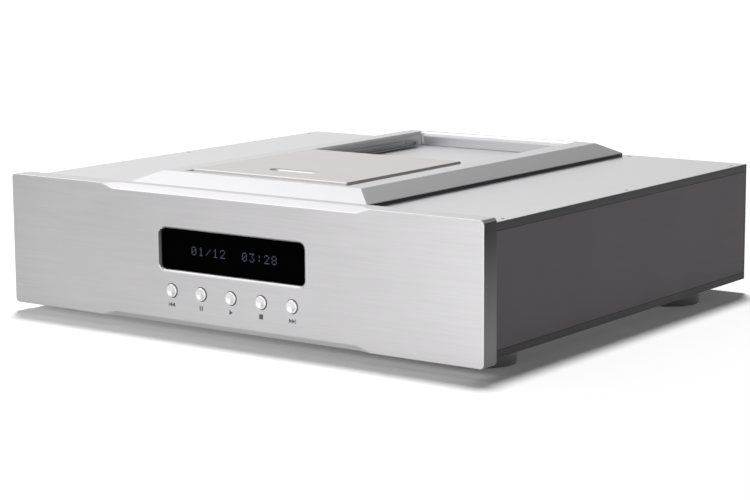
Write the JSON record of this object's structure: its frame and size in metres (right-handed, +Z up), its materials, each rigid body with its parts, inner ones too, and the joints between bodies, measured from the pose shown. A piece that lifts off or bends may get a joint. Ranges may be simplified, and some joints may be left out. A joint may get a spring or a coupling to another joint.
{
  "type": "disc transport",
  "caption": "Full-width silver top-loading disc transport with a thick front panel, dark display, round push buttons and a flat lid that slides back in a sloped surround.",
  "frame": {"origin": "middle of the footprint on the surface it stands on", "axes": "+X to the right seen from the front, +Y to the rear, +Z up"},
  "size_m": [0.435, 0.3978, 0.1169],
  "materials": {
    "front_silver": "fine horizontal brushing, clear anodised",
    "plate_silver": "bead blasted, clear anodised",
    "surround_silver": "fine brushed, clear anodised",
    "lid_silver": "brushed across, clear anodised",
    "side_grey": "bead blasted, anodised",
    "button_silver": "turned face, polished edge",
    "window_black": "polished smoked acrylic",
    "display_dark": "display glass",
    "board_green": "solder mask",
    "part_black": "moulded, satin",
    "rail_grey": "anodised",
    "runner_plastic": "moulded",
    "well_dark": "dark anodised",
    "deck_steel": "plated sheet",
    "soft_rubber": "matte",
    "motor_steel": "drawn can",
    "rod_steel": "ground",
    "foot_black": "black anodised, turned",
    "screw_steel": "zinc plated",
    "jack_gold": "gold plated",
    "jack_nickel": "nickel plated",
    "capacitor_blue": "sleeve",
    "post_brass": "turned",
    "transformer_wrap": "potted and wrapped",
    "rocker_black": "moulded",
    "gear_ivory": "moulded acetal",
    "pinion_brass": "hobbed",
    "lens_glass": "coated",
    "puck_black": "black anodised, turned",
    "turntable_dark": "turned"
  },
  "bodies": {
    "chassis": {"front_panel": "front_silver", "display_window": "window_black", "display_module": "display_dark", "front_board": "board_green", "tact_switches": "part_black", "top_plate": "plate_silver", "bottom_plate": "side_grey", "left_side": "side_grey", "right_side": "side_grey", "rear_panel": "side_grey", "corner_brackets": "rail_grey", "lid_surround": "surround_silver", "rail_left": "rail_grey", "rail_right": "rail_grey", "disc_well": "well_dark", "mech_deck": "deck_steel", "mech_grommets": "soft_rubber", "spindle_motor": "motor_steel", "guide_rods": "rod_steel", "rod_brackets": "part_black", "sled_motor": "motor_steel", "main_board": "board_green", "main_board_parts": "part_black", "power_board": "board_green", "power_capacitors": "capacitor_blue", "board_posts": "post_brass", "transformer": "transformer_wrap", "transformer_clamp": "screw_steel", "power_inlet": "part_black", "switch_housing": "part_black", "xlr_socket": "jack_nickel", "rca_jack": "jack_gold", "bnc_jack": "jack_nickel", "data_socket": "jack_nickel", "feet": "foot_black", "foot_pads": "soft_rubber", "foot_screws": "screw_steel", "case_screws": "screw_steel", "cap_screws": "screw_steel", "board_screws": "screw_steel", "rail_screws": "screw_steel", "socket_screws": "screw_steel"},
    "lid": {"sliding_lid": "lid_silver", "runner_left": "runner_plastic", "runner_right": "runner_plastic", "runner_screws": "screw_steel"},
    "prev": {"prev_button": "button_silver"},
    "pause": {"pause_button": "button_silver"},
    "play": {"play_button": "button_silver"},
    "stop": {"stop_button": "button_silver"},
    "next": {"next_button": "button_silver"},
    "rocker": {"power_rocker": "rocker_black"},
    "spindle": {"spindle_shaft": "rod_steel", "turntable": "turntable_dark", "disc_puck": "puck_black"},
    "sled": {"laser_sled": "part_black"},
    "lens": {"lens_holder": "part_black", "objective_lens": "lens_glass"},
    "gear": {"reduction_gear": "gear_ivory"},
    "pinion": {"motor_pinion": "pinion_brass"}
  },
  "joints": [
    {"name": "lid_slide", "type": "slide", "parent": "chassis", "child": "lid", "axis": [0, 1, 0], "range_m": [0, 0.15]},
    {"name": "prev_press", "type": "slide", "parent": "chassis", "child": "prev", "axis": [0, 1, 0], "range_m": [0, 0.0008], "stiffness_N_per_m": 400, "springref_m": -0.0015},
    {"name": "pause_press", "type": "slide", "parent": "chassis", "child": "pause", "axis": [0, 1, 0], "range_m": [0, 0.0008], "stiffness_N_per_m": 400, "springref_m": -0.0015},
    {"name": "play_press", "type": "slide", "parent": "chassis", "child": "play", "axis": [0, 1, 0], "range_m": [0, 0.0008], "stiffness_N_per_m": 400, "springref_m": -0.0015},
    {"name": "stop_press", "type": "slide", "parent": "chassis", "child": "stop", "axis": [0, 1, 0], "range_m": [0, 0.0008], "stiffness_N_per_m": 400, "springref_m": -0.0015},
    {"name": "next_press", "type": "slide", "parent": "chassis", "child": "next", "axis": [0, 1, 0], "range_m": [0, 0.0008], "stiffness_N_per_m": 400, "springref_m": -0.0015},
    {"name": "rocker_tilt", "type": "hinge", "parent": "chassis", "child": "rocker", "pos_m": [-0.104, 0.18585, 0.052], "axis": [1, 0, 0], "range_deg": [0, 20]},
    {"name": "spindle_spin", "type": "hinge", "parent": "chassis", "child": "spindle", "pos_m": [0, -0.0798, 0.093], "axis": [0, 0, 1], "continuous": true},
    {"name": "sled_slide", "type": "slide", "parent": "chassis", "child": "sled", "axis": [0, 1, 0], "range_m": [0, 0.033]},
    {"name": "lens_focus", "type": "slide", "parent": "sled", "child": "lens", "axis": [0, 0, 1], "range_m": [-0.0004, 0.0004], "stiffness_N_per_m": 200},
    {"name": "gear_spin", "type": "hinge", "parent": "chassis", "child": "gear", "pos_m": [0.02965, -0.0318, 0.076], "axis": [0, 0, 1], "range_deg": [-395, 1]},
    {"name": "pinion_spin", "type": "hinge", "parent": "chassis", "child": "pinion", "pos_m": [0.0481, -0.0318, 0.076], "axis": [0, 0, 1], "range_deg": [-1, 1420]}
  ],
  "couplings": [
    {"joint": "gear_spin", "follows": "sled_slide", "rad_per_m": -208.33},
    {"joint": "pinion_spin", "follows": "sled_slide", "rad_per_m": 750}
  ]
}
